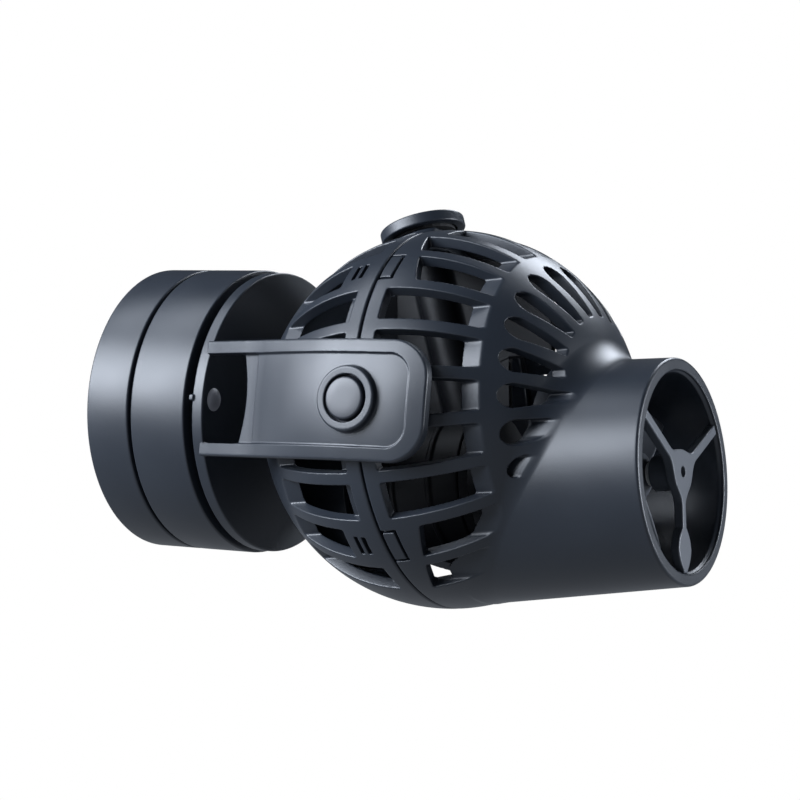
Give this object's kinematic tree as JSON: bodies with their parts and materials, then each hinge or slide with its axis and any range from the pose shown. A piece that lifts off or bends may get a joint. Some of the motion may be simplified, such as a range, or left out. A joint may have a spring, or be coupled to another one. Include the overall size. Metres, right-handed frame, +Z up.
{
  "type": "wave maker pump",
  "caption": "Aquarium wave maker pump: slotted ball with a round outlet nozzle, tilting in a swivel fork on a two-piece magnet mount that clamps the glass.",
  "frame": {"origin": "on the mount axis, midway between the faces of the two rubber pads, where the tank's glass is clamped", "axes": "+X from the glass towards the pump along the mount axis, +Z up, +Y the side away from the near pivot"},
  "size_m": [0.1198, 0.082, 0.0787],
  "materials": {
    "charcoal_abs": "satin, fine moulded grain",
    "cage_abs": "satin, moulded",
    "pin_abs": "satin",
    "pad_rubber": "matte",
    "cable_pvc": "satin sheath",
    "stainless": "brushed",
    "magnet_nickel": "plated, satin",
    "rotor_ferrite": "matte",
    "core_steel": "laminated",
    "winding_copper": "enamelled",
    "washer_ptfe": "smooth",
    "propeller_nylon": "satin"
  },
  "bodies": {
    "mount_base": {"wet_housing": "charcoal_abs", "wet_magnet": "magnet_nickel", "wet_pad": "pad_rubber", "friction_washer": "pad_rubber", "swivel_screw": "stainless"},
    "dry_side": {"dry_housing": "charcoal_abs", "dry_magnet": "magnet_nickel", "dry_pad": "pad_rubber"},
    "fork": {"fork_bracket": "charcoal_abs", "index_pin": "pin_abs"},
    "ball": {"rear_cage": "cage_abs", "front_cage": "cage_abs", "pivot_pin_near": "pin_abs", "pivot_pin_far": "pin_abs", "gland_cap": "cage_abs", "gland_seal": "pad_rubber", "cable": "cable_pvc", "motor_can": "cage_abs", "stator_core": "core_steel", "winding_rear": "winding_copper", "winding_front": "winding_copper", "motor_end_cap": "cage_abs", "rear_bush": "pad_rubber", "shaft_bracket": "cage_abs", "front_bush": "pad_rubber"},
    "rotor": {"shaft": "stainless", "thrust_washer_rear": "washer_ptfe", "rotor_magnet": "rotor_ferrite", "propeller": "propeller_nylon", "thrust_washer_front": "washer_ptfe"}
  },
  "joints": [
    {"name": "dry_side_slide", "type": "slide", "parent": "mount_base", "child": "dry_side", "axis": [-1, 0, 0], "range_m": [0, 0.012]},
    {"name": "fork_swivel", "type": "hinge", "parent": "mount_base", "child": "fork", "pos_m": [0.0149, 0, 0], "axis": [1, 0, 0], "continuous": true},
    {"name": "ball_tilt", "type": "hinge", "parent": "fork", "child": "ball", "pos_m": [0.0571, 0, 0], "axis": [0, 1, 0], "range_deg": [-40, 90]},
    {"name": "rotor_spin", "type": "hinge", "parent": "ball", "child": "rotor", "pos_m": [0.05849, 0, -0.01308], "axis": [0.9944, 0, 0.1061], "continuous": true}
  ]
}
